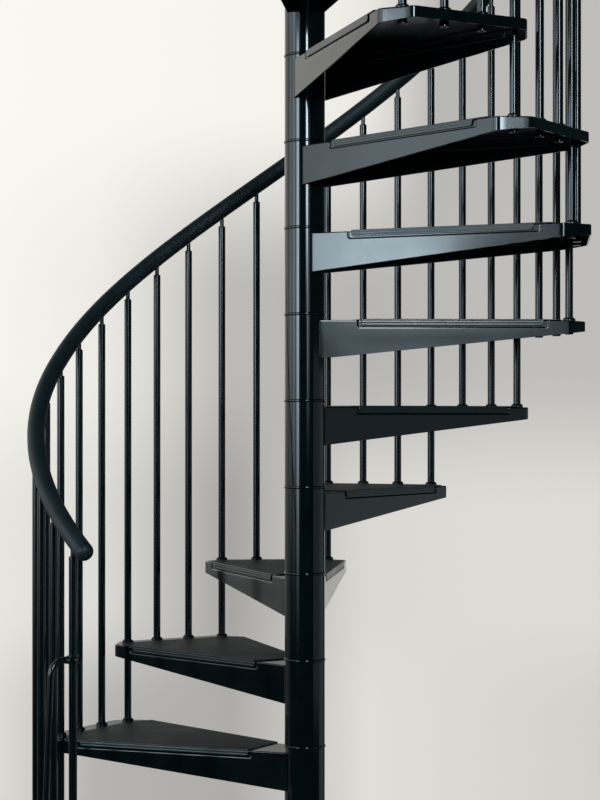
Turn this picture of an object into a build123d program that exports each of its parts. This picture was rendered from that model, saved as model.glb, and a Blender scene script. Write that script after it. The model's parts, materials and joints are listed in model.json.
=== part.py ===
from build123d import *
import os
from math import cos, degrees, hypot, radians, sin

# Spiral staircase of steel steps threaded on a centre column.
# The origin is on the floor at the column's axis, and the steps climb clockwise seen from above.

os.makedirs("parts", exist_ok=True)

# ---------------------------------------------------------------- driving dimensions, in mm and degrees
step_count = 12
rise = 210.0
step_angle = 26.0
low_step_count = 2
low_step_extra = 1.25
first_step_direction = 200.9

sleeve_radius = 49.0
sleeve_wall = 3.0
pole_radius = 30.0
pole_wall = 4.0
ring_proud = 1.8
ring_thickness = 7.0
ring_lift = 8.0

base_plate_radius = 160.0
base_plate_thickness = 10.0
base_plate_chamfer = 2.0
base_bolt_inset = 35.0
base_bolt_count = 4
base_bolt_start = 45.0
bolt_hole_radius = 6.5

hub_end = 22.0
hub_tuck = 4.0
shoulder_set_back = 16.3
shoulder_overlap = 49.1
tip_margin = 29.0
tip_overlap = 1.1
corner_rounding = 20.0
hub_depth = 97.0
shoulder_depth = 34.0
sheet = 4.0
top_edge_rounding = 2.5

recess_hub_margin = 60.5
recess_shoulder_margin = 56.0
recess_height = 20.0
recess_depth = 3.0
notch_inner_rounding = 7.0
notch_outer_rounding = 5.0
notch_mouth_margin = 0.5
cover_rise = 3.0
cover_hub_gap = 10.0
cover_outer_gap = 13.5
cover_collar_gap = 0.8
cover_corner_direction = 34.2
cover_proud = 0.8
cover_rounding = 1.5
lip_outer_gap = 14.0
lip_under_gap = 6.5

baluster_circle_radius = 653.0
balusters_per_step = 3
baluster_radius = 9.5
baluster_end_rounding = 3.0
neck_step = 4.0
neck_length = 18.0
collar_wall = 6.0
collar_height = 9.0
collar_rim_height = 5.0
collar_shoulder_wall = 2.5

handrail_radius = 21.5
handrail_height = 962.0
handrail_overrun = 0.42
handrail_joint_reach = 0.3
cap_length = 22.0
cap_flat_radius = 4.5

foot_margin = 20.5
foot_thickness = 6.0

brace_height = 895.0
brace_radius = 7.0
brace_straight = 3.0
brace_foot_stand_off = 95.0
brace_bend_radius = 33.0
brace_foot_margin = 17.0
clamp_wall = 4.5
clamp_height = 18.0
clamp_boss_radius = 8.5
clamp_boss_reach = 20.0

landing_turn = 66.4
landing_overhang = 47.0
landing_depth = 97.0
landing_margin = 85.0
landing_bolt_spacing = 340.0
landing_bolt_offset = 310.0
column_cap_height = 16.0
column_cap_rounding = 12.0

# ---------------------------------------------------------------- clearances
weld_clearance = 0.2
running_clearance = 0.3
hole_clearance = 0.4
press_clearance = 0.15

# ---------------------------------------------------------------- worked-out values
ring_radius = sleeve_radius + ring_proud
base_bolt_circle_radius = base_plate_radius - base_bolt_inset
neck_radius = baluster_radius - neck_step
collar_radius = baluster_radius + collar_wall
collar_shoulder_radius = baluster_radius + collar_shoulder_wall
foot_radius = baluster_radius + foot_margin
clamp_radius = baluster_radius + clamp_wall
brace_stand_off = clamp_boss_reach + brace_bend_radius + brace_straight
brace_foot_radius = brace_radius + brace_foot_margin
cap_rounding = handrail_radius - cap_flat_radius

corner_reach = baluster_circle_radius * cos(radians(step_angle / 2))
corner_half_width = baluster_circle_radius * sin(radians(step_angle / 2))
hub_half_width = sleeve_radius - hub_tuck
shoulder_reach = corner_reach - shoulder_set_back
shoulder_half_width = corner_half_width + shoulder_overlap
tip_reach = baluster_circle_radius + tip_margin
tip_half_width = corner_half_width + tip_overlap
recess_start = sleeve_radius + recess_hub_margin
recess_end = shoulder_reach - recess_shoulder_margin
cover_start = recess_start + cover_hub_gap
lip_end = recess_end - lip_outer_gap
lip_height = recess_height - lip_under_gap
cover_outer_end = baluster_circle_radius - collar_radius - cover_outer_gap

baluster_step = step_angle / balusters_per_step
low_baluster_step = baluster_step + low_step_extra / balusters_per_step
low_baluster_count = low_step_count * balusters_per_step
first_baluster_direction = first_step_direction + step_angle / 2
last_baluster = step_count * balusters_per_step
depth_slope = (hub_depth - shoulder_depth) / (shoulder_reach - hub_end)
rail_gain = rise / balusters_per_step
steel_top = -cover_rise
landing_level = (step_count + 1) * rise
whole_turn = step_angle * step_count + low_step_extra * low_step_count
landing_direction = first_step_direction - whole_turn - landing_turn
landing_reach = baluster_circle_radius + landing_overhang
cut_width = shoulder_half_width + 2 * sheet
column_top = landing_level + ring_lift + ring_thickness


def save(piece, name):
    """Labels a finished piece and writes its own file."""
    piece.part.label = name
    export_step(piece.part, f"parts/{name}.step")


# ---------------------------------------------------------------- places on the stair
def baluster_angle(number):
    """Direction of a baluster, in radians, counted up the stair from the starting one."""
    low = min(number, low_baluster_count)
    return radians(first_baluster_direction - low_baluster_step * low - baluster_step * (number - low))


def baluster_spacing(number):
    """Degrees of turn from a baluster to the next, a little wider over the lowest steps."""
    return low_baluster_step if number < low_baluster_count else baluster_step


def step_plane(number):
    """The walking level of a step, with x running outward along its middle."""
    direction = baluster_angle((number - 1) * balusters_per_step) - radians(step_angle / 2)
    return Plane(origin=(0, 0, number * rise), x_dir=(cos(direction), sin(direction), 0), z_dir=(0, 0, 1))


def baluster_place(number, height):
    """The point on a baluster's axis at a height."""
    angle = baluster_angle(number)
    return Vector(baluster_circle_radius * cos(angle), baluster_circle_radius * sin(angle), height)


def rail_centre(number):
    """The handrail's centre over a baluster."""
    return baluster_place(number, rise + handrail_height + rail_gain * number)


def rail_direction(number):
    """The handrail's uphill direction over a baluster."""
    angle = baluster_angle(number)
    along = baluster_circle_radius * radians(baluster_spacing(number))
    return Vector(along * sin(angle), -along * cos(angle), rail_gain).normalized()


def carrying_step(number):
    """The step that a baluster's foot stands on, 0 being the floor."""
    return -(-number // balusters_per_step)


def landing_plane(height):
    """A level plane square with the landing, which fills the corner where both axes are positive."""
    direction = radians(landing_direction)
    return Plane(origin=(0, 0, height), x_dir=(cos(direction), sin(direction), 0), z_dir=(0, 0, 1))


# ---------------------------------------------------------------- column
with BuildPart() as base_plate:
    with BuildSketch():
        Circle(base_plate_radius)
        with PolarLocations(base_bolt_circle_radius, base_bolt_count, start_angle=base_bolt_start):
            Circle(bolt_hole_radius, mode=Mode.SUBTRACT)
    extrude(amount=base_plate_thickness)
    outer_rim = base_plate.edges().filter_by(GeomType.CIRCLE).group_by(Axis.Z)[-1].sort_by(SortBy.RADIUS)[-1:]
    chamfer(outer_rim, base_plate_chamfer)
save(base_plate, "base_plate")

with BuildPart() as centre_pole:
    with BuildSketch(Plane.XY.offset(base_plate_thickness)):
        Circle(pole_radius)
        Circle(pole_radius - pole_wall, mode=Mode.SUBTRACT)
    extrude(amount=column_top - base_plate_thickness)
save(centre_pole, "centre_pole")

with BuildPart() as column_sleeves:
    for number in range(1, step_count + 2):
        below = (number - 1) * rise + ring_lift + ring_thickness
        bottom = base_plate_thickness if number == 1 else below
        with BuildSketch(Plane.XY.offset(bottom)):
            Circle(sleeve_radius)
            Circle(sleeve_radius - sleeve_wall, mode=Mode.SUBTRACT)
        extrude(amount=number * rise + ring_lift - bottom)
save(column_sleeves, "column_sleeves")

with BuildPart() as column_rings:
    for number in range(1, step_count + 2):
        with BuildSketch(Plane.XY.offset(number * rise + ring_lift)):
            Circle(ring_radius)
            Circle(pole_radius + running_clearance, mode=Mode.SUBTRACT)
        extrude(amount=ring_thickness)
save(column_rings, "column_rings")

with BuildPart() as column_cap:
    with BuildSketch(Plane.XY.offset(column_top)):
        Circle(ring_radius)
    extrude(amount=column_cap_height)
    fillet(column_cap.edges().group_by(Axis.Z)[-1], column_cap_rounding)
save(column_cap, "column_cap")


# ---------------------------------------------------------------- steps
# One step and one cover are shaped with the column's axis at the origin, x running outward and the
# walking level at z = 0, and a copy of each is then set on every rise.
def step_outline(inset=0.0):
    """A step's plan: tapering sides, a facet at each outer corner and a straight tip."""
    with BuildSketch() as outline:
        with BuildLine():
            Polyline(
                (hub_end, -hub_half_width),
                (shoulder_reach, -shoulder_half_width),
                (tip_reach, -tip_half_width),
                (tip_reach, tip_half_width),
                (shoulder_reach, shoulder_half_width),
                (hub_end, hub_half_width),
                close=True,
            )
        make_face()
        fillet(outline.vertices().sort_by(Axis.X)[2:], corner_rounding)
        if inset:
            offset(amount=-inset, kind=Kind.INTERSECTION)
    return outline.sketch


def notch_profile(start, end, height):
    """A side recess seen square on: round lower corners, and upper ones that roll outward."""
    mouth = notch_outer_rounding + notch_mouth_margin
    with BuildSketch() as profile:
        with BuildLine():
            Polyline(
                (start - mouth, mouth),
                (start - mouth, 0),
                (start, 0),
                (start, -height),
                (end, -height),
                (end, 0),
                (end + mouth, 0),
                (end + mouth, mouth),
                close=True,
            )
        make_face()
        rows = profile.vertices().group_by(Axis.Y)
        fillet(rows[0], min(notch_inner_rounding, height - mouth))
        fillet(rows[1].sort_by(Axis.X)[1:3], notch_outer_rounding)
    return profile.sketch


def side_band(start, end, height, core_inset):
    """The space of a recess along both sides of a step, outside an inset core."""
    with BuildPart() as band:
        with BuildSketch(Plane.XZ):
            with Locations((0, steel_top)):
                add(notch_profile(start, end, height))
        extrude(amount=cut_width, both=True)
        with BuildSketch(Plane.XY.offset(-hub_depth)):
            add(step_outline(core_inset))
        extrude(amount=2 * hub_depth, mode=Mode.SUBTRACT)
    return band.part


def depth_at(reach):
    """How far a step's lower edge lies under the walking level at a distance from the axis."""
    return hub_depth - depth_slope * (reach - hub_end)


def step_inside():
    """The hollow under a step, narrower beside the recesses."""
    with BuildPart() as inside:
        with BuildSketch(Plane.XY.offset(steel_top - sheet)):
            add(step_outline(sheet))
        extrude(amount=-hub_depth)
        folds = side_band(
            recess_start - sheet,
            recess_end + sheet,
            recess_height + sheet,
            recess_depth + sheet,
        )
        add(folds, mode=Mode.SUBTRACT)
    return inside.part


def slant_half_width(reach):
    """Half-width of a cover's slanting corner at a distance from the axis, clear of the corner collar."""
    slant = radians(cover_corner_direction)
    clear = collar_radius + cover_collar_gap
    return corner_half_width - (clear + (reach - corner_reach) * cos(slant)) / sin(slant)


def slant_reach(half_width):
    """Distance from the axis at which a cover's slanting corner has a half-width."""
    slant = radians(cover_corner_direction)
    clear = collar_radius + cover_collar_gap
    return corner_reach + ((corner_half_width - half_width) * sin(slant) - clear) / cos(slant)


def cover_outline():
    """A cover's plan: flush with the step's sides, clear of the corner collars at its outer end."""
    slant_start = slant_reach(cut_width)
    corner = slant_half_width(cover_outer_end)
    with BuildSketch() as outline:
        add(step_outline(-cover_proud))
        with BuildLine():
            Polyline(
                (cover_start, -cut_width),
                (slant_start, -cut_width),
                (cover_outer_end, -corner),
                (cover_outer_end, corner),
                (slant_start, cut_width),
                (cover_start, cut_width),
                close=True,
            )
        make_face(mode=Mode.INTERSECT)
    return outline.sketch


def cover_lips():
    """The two lips of a cover, each hanging in a recess with a gap all round."""
    with BuildPart() as lips:
        add(side_band(cover_start, lip_end, lip_height, recess_depth - running_clearance))
        with BuildSketch(Plane.XY.offset(steel_top - hub_depth)):
            add(cover_outline())
        extrude(amount=hub_depth, mode=Mode.INTERSECT)
    return lips.part


inside_of_step = step_inside()
recesses = side_band(recess_start, recess_end, recess_height, recess_depth)
with BuildPart() as step_pan:
    with BuildSketch(Plane.XY.offset(steel_top)):
        add(step_outline())
    extrude(amount=-hub_depth)
    rim = step_pan.faces().sort_by(Axis.Z)[-1].edges().sort_by(Axis.X)[1:]
    fillet(rim, top_edge_rounding)
    with BuildSketch(Plane.XZ):
        with BuildLine():
            Polyline(
                (0, hub_depth),
                (tip_reach + sheet, hub_depth),
                (tip_reach + sheet, -depth_at(tip_reach + sheet)),
                (0, -depth_at(0)),
                close=True,
            )
        make_face()
    extrude(amount=cut_width, both=True, mode=Mode.INTERSECT)
    add(inside_of_step, mode=Mode.SUBTRACT)
    add(recesses, mode=Mode.SUBTRACT)
    with BuildSketch(Plane.XY.offset(-2 * hub_depth)):
        Circle(sleeve_radius + weld_clearance)
        with Locations((corner_reach, corner_half_width)):
            Circle(baluster_radius + hole_clearance)
    extrude(amount=3 * hub_depth, mode=Mode.SUBTRACT)

hanging_lips = cover_lips()
with BuildPart() as step_cover:
    with BuildSketch(Plane.XY.offset(steel_top)):
        add(cover_outline())
    extrude(amount=cover_rise)
    add(hanging_lips)
    rim = step_cover.faces().sort_by(Axis.Z)[-1].edges()
    fillet(rim, cover_rounding)

for number in range(1, step_count + 1):
    with BuildPart() as tread:
        with Locations(step_plane(number).location):
            add(step_pan.part)
    save(tread, f"tread_{number:02d}")
    with BuildPart() as cover:
        with Locations(step_plane(number).location):
            add(step_cover.part)
    save(cover, f"cover_{number:02d}")


# ---------------------------------------------------------------- landing
def landing_outline(inset=0.0):
    """A corner platform, alike about its diagonal, whose front edge runs as a step's side does."""
    hub = Vector(hub_end, hub_half_width).rotate(Axis.Z, landing_turn)
    shoulder = Vector(shoulder_reach, shoulder_half_width).rotate(Axis.Z, landing_turn)
    run = (landing_reach - hub.Y) / (shoulder.Y - hub.Y)
    front = hub.X + run * (shoulder.X - hub.X)
    with BuildSketch() as outline:
        with BuildLine():
            Polyline(
                (hub.X, hub.Y),
                (front, landing_reach),
                (landing_reach, landing_reach),
                (landing_reach, front),
                (hub.Y, hub.X),
                close=True,
            )
        make_face()
        if inset:
            offset(amount=-inset, kind=Kind.INTERSECTION)
    return outline.sketch


with BuildPart() as landing_frame:
    with BuildSketch(landing_plane(landing_level + steel_top)):
        add(landing_outline())
    extrude(amount=-landing_depth)
    with BuildSketch(landing_plane(landing_level + steel_top - sheet)):
        add(landing_outline(sheet))
    extrude(amount=-landing_depth, mode=Mode.SUBTRACT)
    with BuildSketch(Plane.XY.offset(landing_level - 2 * landing_depth)):
        Circle(sleeve_radius + weld_clearance)
    extrude(amount=3 * landing_depth, mode=Mode.SUBTRACT)
    with BuildSketch(step_plane(step_count + 1).offset(-landing_depth)):
        with Locations((corner_reach, corner_half_width)):
            Circle(baluster_radius + hole_clearance)
    extrude(amount=2 * landing_depth, mode=Mode.SUBTRACT)
    bolt_plane = landing_plane(landing_level - landing_depth / 2)
    middle = landing_reach - landing_bolt_offset
    for outward, along in ((bolt_plane.x_dir, bolt_plane.y_dir), (bolt_plane.y_dir, bolt_plane.x_dir)):
        face_middle = bolt_plane.origin + outward * landing_reach + along * middle
        with BuildSketch(Plane(origin=face_middle, x_dir=along, z_dir=outward)):
            with Locations((-landing_bolt_spacing / 2, 0), (landing_bolt_spacing / 2, 0)):
                Circle(bolt_hole_radius)
        extrude(amount=-2 * sheet, mode=Mode.SUBTRACT)
save(landing_frame, "landing_frame")

with BuildPart() as landing_cover:
    with BuildSketch(landing_plane(landing_level + steel_top)):
        add(landing_outline(landing_margin))
        Circle(cover_start, mode=Mode.SUBTRACT)
    extrude(amount=cover_rise)
    fillet(landing_cover.faces().sort_by(Axis.Z)[-1].edges(), cover_rounding)
save(landing_cover, "landing_cover")


# ---------------------------------------------------------------- balusters
def upright(number, bottom):
    """A round baluster with a narrow neck that is shaped to the handrail's underside."""
    top = rail_centre(number).Z
    heading = rail_direction(number)
    shoulder = top - handrail_radius / hypot(heading.X, heading.Y) - neck_length
    with BuildPart() as baluster:
        with BuildSketch(Plane(origin=baluster_place(number, bottom))):
            Circle(baluster_radius)
        extrude(amount=shoulder - bottom)
        fillet(baluster.edges().group_by(Axis.Z)[-1], baluster_end_rounding)
        with BuildSketch(Plane(origin=baluster_place(number, shoulder))):
            Circle(neck_radius)
        extrude(amount=top - shoulder)
        with BuildSketch(Plane(origin=rail_centre(number), z_dir=heading)):
            Circle(handrail_radius + running_clearance)
        extrude(amount=3 * handrail_radius, both=True, mode=Mode.SUBTRACT)
    return baluster.part


def collar(number, height):
    """A collar round a baluster where it meets a step, wide at the foot and coned above."""
    foot = baluster_place(number, height)
    bore = baluster_radius + press_clearance
    with BuildPart() as ring:
        with BuildSketch(Plane(origin=foot, x_dir=(1, 0, 0), z_dir=(0, -1, 0))):
            with BuildLine():
                Polyline(
                    (bore, 0),
                    (collar_radius, 0),
                    (collar_radius, collar_rim_height),
                    (collar_shoulder_radius, collar_height),
                    (bore, collar_height),
                    close=True,
                )
            make_face()
        revolve(axis=Axis(foot, (0, 0, 1)))
    return ring.part


quarters = ("first", "second", "third", "last")
quarter_size = last_baluster // len(quarters)
for index, quarter in enumerate(quarters):
    with BuildPart() as balusters:
        for number in range(index * quarter_size + 1, (index + 1) * quarter_size + 1):
            add(upright(number, carrying_step(number) * rise + steel_top))
    save(balusters, f"balusters_{quarter}_quarter")

with BuildPart() as baluster_collars:
    for number in range(1, last_baluster + 1):
        add(collar(number, carrying_step(number) * rise + steel_top))
    for number in range(0, last_baluster + 1, balusters_per_step):
        add(collar(number, (number // balusters_per_step + 1) * rise + steel_top))
save(baluster_collars, "baluster_collars")

with BuildPart() as starting_baluster:
    add(upright(0, foot_thickness))
    with BuildSketch(Plane(origin=baluster_place(0, 0))):
        Circle(foot_radius)
    extrude(amount=foot_thickness)
save(starting_baluster, "starting_baluster")

# ---------------------------------------------------------------- brace of the starting baluster
outward = Vector(cos(baluster_angle(0)), sin(baluster_angle(0)), 0)
brace_plane = Plane(origin=baluster_place(0, 0), x_dir=outward, z_dir=outward.cross(Vector(0, 0, 1)))
with BuildPart() as brace_clamp:
    with BuildSketch(Plane(origin=baluster_place(0, brace_height - clamp_height / 2))):
        Circle(clamp_radius)
    extrude(amount=clamp_height)
    with BuildSketch(Plane(origin=baluster_place(0, brace_height), z_dir=outward)):
        Circle(clamp_boss_radius)
    extrude(amount=clamp_boss_reach)
    with BuildSketch(Plane(origin=baluster_place(0, brace_height - clamp_height))):
        Circle(baluster_radius + press_clearance)
    extrude(amount=2 * clamp_height, mode=Mode.SUBTRACT)
save(brace_clamp, "brace_clamp")

with BuildPart() as start_brace:
    with BuildLine(brace_plane) as route:
        FilletPolyline(
            (clamp_boss_reach, brace_height),
            (brace_stand_off, brace_height),
            (brace_foot_stand_off, foot_thickness / 2),
            radius=brace_bend_radius,
        )
    with BuildSketch(Plane(origin=route.line @ 0, z_dir=route.line % 0)):
        Circle(brace_radius)
    sweep(path=route.line)
    with BuildSketch(Plane(origin=brace_plane.from_local_coords(Vector(brace_foot_stand_off, 0, 0)))):
        Circle(brace_foot_radius)
    extrude(amount=foot_thickness)
save(start_brace, "start_brace")

# ---------------------------------------------------------------- handrail
# Two lengths, each on its own steady slope, meet in a butt joint over the baluster where the slope changes.
rail_bottom = rail_centre(-handrail_overrun)
rail_joint = rail_centre(low_baluster_count)
rail_top = rail_centre(last_baluster + handrail_overrun)
joint_angle = baluster_angle(low_baluster_count)
joint_heading = Vector(sin(joint_angle), -cos(joint_angle), 0)
joint_plane = Plane(origin=rail_joint, x_dir=(0, 0, 1), z_dir=joint_heading)
joint_block_width = 8 * handrail_radius
joint_block_length = 2 * handrail_joint_reach * baluster_circle_radius * radians(low_baluster_step)


def rail_length(direction, height, gain, spacing):
    """A length of handrail that starts at a direction and a height and climbs by a gain."""
    with BuildPart() as length:
        with BuildLine() as helix:
            Helix(rail_gain * 360 / spacing, gain, baluster_circle_radius, lefthand=True)
        with BuildSketch(Plane(origin=helix.line @ 0, z_dir=helix.line % 0)):
            Circle(handrail_radius)
        sweep(path=helix.line, is_frenet=True)
    with BuildPart() as placed:
        with Locations(Location((0, 0, height), (0, 0, direction))):
            add(length.part)
    return placed.part


def cut_at_joint(length, side):
    """A length of handrail without what runs past the joint, uphill for a side of 1 and downhill for -1."""
    with BuildPart() as cut:
        add(length)
        with BuildSketch(joint_plane.offset(-side * running_clearance / 2)):
            Rectangle(joint_block_width, joint_block_width)
        extrude(amount=side * joint_block_length, mode=Mode.SUBTRACT)
    return cut.part


joint_overlap = rail_gain * handrail_joint_reach
lower_start = degrees(baluster_angle(-handrail_overrun))
lower_gain = rail_joint.Z - rail_bottom.Z + joint_overlap
upper_start = degrees(joint_angle) + baluster_step * handrail_joint_reach
upper_gain = rail_top.Z - rail_joint.Z + joint_overlap
lower_length = rail_length(lower_start, rail_bottom.Z, lower_gain, low_baluster_step)
upper_length = rail_length(upper_start, rail_joint.Z - joint_overlap, upper_gain, baluster_step)
with BuildPart() as handrail:
    add(cut_at_joint(lower_length, 1))
    add(cut_at_joint(upper_length, -1))
save(handrail, "handrail")


def rail_cap(end, heading):
    """A domed cap that closes one end of the handrail."""
    with BuildPart() as cap:
        with BuildSketch(Plane(origin=end, z_dir=heading)):
            Circle(handrail_radius)
        extrude(amount=cap_length)
        fillet(cap.faces().sort_by(Axis(end, heading))[-1].edges(), cap_rounding)
    return cap.part


lower_heading = rail_direction(-handrail_overrun) * -1
upper_heading = rail_direction(last_baluster + handrail_overrun)
with BuildPart() as handrail_caps:
    add(rail_cap(rail_bottom, lower_heading))
    add(rail_cap(rail_top, upper_heading))
save(handrail_caps, "handrail_caps")
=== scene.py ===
# %% [markdown]
# # A spiral staircase of black painted steel
#
# This lesson dresses a finished frame of a spiral staircase: pressed steel steps threaded on a
# column, plastic covers on the steps, round balusters and a handrail that follows the climb. The
# frame fixes every size. The work here is on finish, on the rolled edges of thin sheet, on small
# fittings and on light.

# %% The frame
import json
import math

import bmesh
import bpy
from mathutils import Matrix, Vector, geometry, noise


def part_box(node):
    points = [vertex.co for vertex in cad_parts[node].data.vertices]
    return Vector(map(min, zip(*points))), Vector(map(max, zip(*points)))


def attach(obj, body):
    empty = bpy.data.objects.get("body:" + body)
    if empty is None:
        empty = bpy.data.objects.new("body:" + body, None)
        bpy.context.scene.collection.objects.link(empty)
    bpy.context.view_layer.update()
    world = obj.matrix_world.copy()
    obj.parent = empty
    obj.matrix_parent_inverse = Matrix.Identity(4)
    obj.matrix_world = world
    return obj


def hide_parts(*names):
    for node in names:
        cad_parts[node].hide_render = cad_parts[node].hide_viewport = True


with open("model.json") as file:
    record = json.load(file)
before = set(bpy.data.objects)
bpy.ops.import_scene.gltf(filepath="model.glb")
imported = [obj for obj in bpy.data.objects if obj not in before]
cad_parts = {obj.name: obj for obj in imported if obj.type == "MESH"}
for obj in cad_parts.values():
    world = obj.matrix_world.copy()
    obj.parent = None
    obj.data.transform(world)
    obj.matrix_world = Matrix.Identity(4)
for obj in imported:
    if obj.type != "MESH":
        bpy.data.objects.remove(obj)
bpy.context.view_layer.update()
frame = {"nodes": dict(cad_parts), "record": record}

nodes = frame["nodes"]

# %% [markdown]
# ## Where the camera stands
#
# The staircase is seen from about five metres away at chest height, with a long lens that looks
# level, so its uprights stay parallel. A level camera with a small lens shift keeps them so; tilting
# it would make them lean.

# %% The camera
camera_place = (-0.2561, -4.814, 1.440)
camera_lens = 88.83
frame_shift = (0.1253, 0.0222)


def add_object(name, data):
    """A new object in the scene."""
    made = bpy.data.objects.new(name, data)
    bpy.context.scene.collection.objects.link(made)
    return made


camera_data = bpy.data.cameras.new("camera")
camera_data.lens = camera_lens
camera_data.sensor_width = 36.0
camera_data.shift_x, camera_data.shift_y = frame_shift
camera_data.clip_start = 0.05
camera_data.clip_end = 200.0
camera = add_object("camera", camera_data)
camera.location = camera_place
camera.rotation_euler = (math.radians(90), 0, 0)
bpy.context.scene.camera = camera
bpy.context.scene.view_settings.view_transform = "Standard"
print("camera", camera_place, "lens", camera_lens, "mm")


# %% [markdown]
# ## Helpers for node materials
#
# Every finish below is made of a few nodes. These helpers add a node with its values, wire a list of
# sockets, and map or tint a value, so that each finish reads as a short recipe.

# %% Node helpers
def add_node(tree, kind, values=None, **settings):
    """A new node with its settings and the values of its unlinked inputs."""
    node = tree.nodes.new(kind)
    for name, value in settings.items():
        setattr(node, name, value)
    for name, value in (values or {}).items():
        node.inputs[name].default_value = value
    return node


def connect(tree, *pairs):
    """Wires pairs of an output and an input."""
    for source, socket in pairs:
        tree.links.new(source, socket)


def empty_tree(owner):
    """The cleared node tree of a material, a world or a lamp."""
    owner.use_nodes = True
    owner.node_tree.nodes.clear()
    return owner.node_tree


def new_finish(name, shine=0.5, shine_tint=(1.0, 1.0, 1.0, 1.0)):
    """A node material with its shader and output."""
    finish = bpy.data.materials.new(name)
    tree = empty_tree(finish)
    shader = add_node(tree, "ShaderNodeBsdfPrincipled",
                      {"Specular IOR Level": shine, "Specular Tint": shine_tint})
    output = add_node(tree, "ShaderNodeOutputMaterial")
    connect(tree, (shader.outputs[0], output.inputs["Surface"]))
    return finish, tree, shader


def spread(tree, source, low, high, bottom=0.0, top=1.0, style="LINEAR"):
    """Maps a value that runs from bottom to top onto the range from low to high."""
    node = add_node(tree, "ShaderNodeMapRange",
                    {"From Min": bottom, "From Max": top, "To Min": low, "To Max": high},
                    interpolation_type=style)
    connect(tree, (source, node.inputs["Value"]))
    return node.outputs[0]


def soft_step(tree, source, bottom, top, low=0.0, high=1.0):
    """A smooth rise from low to high while a value runs from bottom to top."""
    return spread(tree, source, low, high, bottom, top, "SMOOTHSTEP")


def add_noise(tree, place, scale, detail, roughness=0.5):
    """A noise in the object's own space."""
    node = add_node(tree, "ShaderNodeTexNoise", {"Scale": scale, "Detail": detail, "Roughness": roughness})
    connect(tree, (place.outputs["Object"], node.inputs["Vector"]))
    return node.outputs["Fac"]


def blend(tree, share, first, second):
    """One colour fading to another as the share rises."""
    node = add_node(tree, "ShaderNodeMix", data_type="RGBA")
    connect(tree, (share, node.inputs["Factor"]), (first, node.inputs["A"]), (second, node.inputs["B"]))
    return node.outputs["Result"]


def ramp(tree, source, stops):
    """A colour ramp with its stops given as position and colour."""
    node = add_node(tree, "ShaderNodeValToRGB")
    elements = node.color_ramp.elements
    stops = list(stops)
    while len(elements) < len(stops):
        elements.new(0.5)
    for element, (position, colour) in zip(elements, stops):
        element.position = position
        element.color = (*colour, 1)
    connect(tree, (source, node.inputs["Fac"]))
    return node.outputs["Color"]


print("node helpers ready in Blender", bpy.app.version_string)

# %% [markdown]
# ## What every finish does
#
# A real finish is never even: its colour and its gloss drift together over a few centimetres, and a
# finer relief breaks up the reflections. The first helper below drives tint and roughness from one
# noise, between the levels where most of a noise lies. The second adds the relief, and can ease the
# edges of a part that is modelled sharp.

# %% Drift and relief
noise_range = (0.3, 0.7)


def vary_film(tree, shader, noise_level, dark, light, gloss):
    """Drives a shader's tint and roughness from one noise."""
    bottom, top = noise_range
    tint = ramp(tree, noise_level, ((bottom, dark), (top, light)))
    roughness = spread(tree, noise_level, gloss[0], gloss[1], bottom, top)
    connect(tree, (tint, shader.inputs["Base Color"]), (roughness, shader.inputs["Roughness"]))


def add_relief(tree, shader, height, strength, depth, edge=0.0, edge_samples=4):
    """Bump on a shader from a height, over eased edges if an edge radius is given."""
    bump = add_node(tree, "ShaderNodeBump", {"Strength": strength, "Distance": depth})
    if edge:
        rounded = add_node(tree, "ShaderNodeBevel", {"Radius": edge}, samples=edge_samples)
        connect(tree, (rounded.outputs["Normal"], bump.inputs["Normal"]))
    connect(tree, (height, bump.inputs["Height"]), (bump.outputs["Normal"], shader.inputs["Normal"]))


print("noise is used between", noise_range[0], "and", noise_range[1])


# %% [markdown]
# ## Black paint on steel
#
# Powder paint is baked on as a thick gloss film over thin sheet. Up close it has an orange peel, with
# bumps two or three millimetres apart, and dust nibs here and there. A noise makes the peel, round
# cells make the nibs, and a slower noise makes the film drift. The shine itself leans a little to
# blue, as it does on such paint under daylight. Round bars keep their streaks straight, so their peel
# is finer and shallower than on sheet.

# %% The paint
cool_shine = (0.84, 0.93, 1.0, 1.0)
paint_dark, paint_light = (0.0002, 0.0018, 0.0024), (0.0006, 0.0036, 0.0046)
nib_radius, nib_share = 0.12, 0.25


def paint_finish(name, gloss, peel_size, peel_depth, edge=0.0):
    """Gloss black powder paint with a cool tint, over eased edges if an edge radius is given."""
    finish, tree, shader = new_finish(name, 0.5, cool_shine)
    place = add_node(tree, "ShaderNodeTexCoord")
    vary_film(tree, shader, add_noise(tree, place, 11.0, 5.0, 0.6), paint_dark, paint_light, gloss)
    nibs = add_node(tree, "ShaderNodeTexVoronoi", {"Scale": 160.0}, feature="F1")
    height = add_node(tree, "ShaderNodeMath", {1: nib_share}, operation="MULTIPLY_ADD")
    connect(tree, (place.outputs["Object"], nibs.inputs["Vector"]),
            (spread(tree, nibs.outputs["Distance"], 1.0, 0.0, 0.0, nib_radius), height.inputs[0]),
            (add_noise(tree, place, peel_size, 2.0), height.inputs[2]))
    add_relief(tree, shader, height.outputs[0], 0.35, peel_depth, edge, 6)
    return finish


print("shine of the paint", cool_shine[:3])

# %% [markdown]
# ## Moulded plastic
#
# The step covers and the handrail are moulded plastic with a satin face: darker and duller than the
# paint, and finely grained so that shoes and hands grip. The collars are a glossier moulding. One
# recipe serves all of them, each with its own tint, gloss and grain. The grain is a noise pushed
# through a steep range, which leaves rounded pimples with flat valleys between them. The flat of a
# cover gets the deepest grain and the least shine, and its lips stay smoother.

# %% The plastics
grain_range = (0.42, 0.66)


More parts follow.
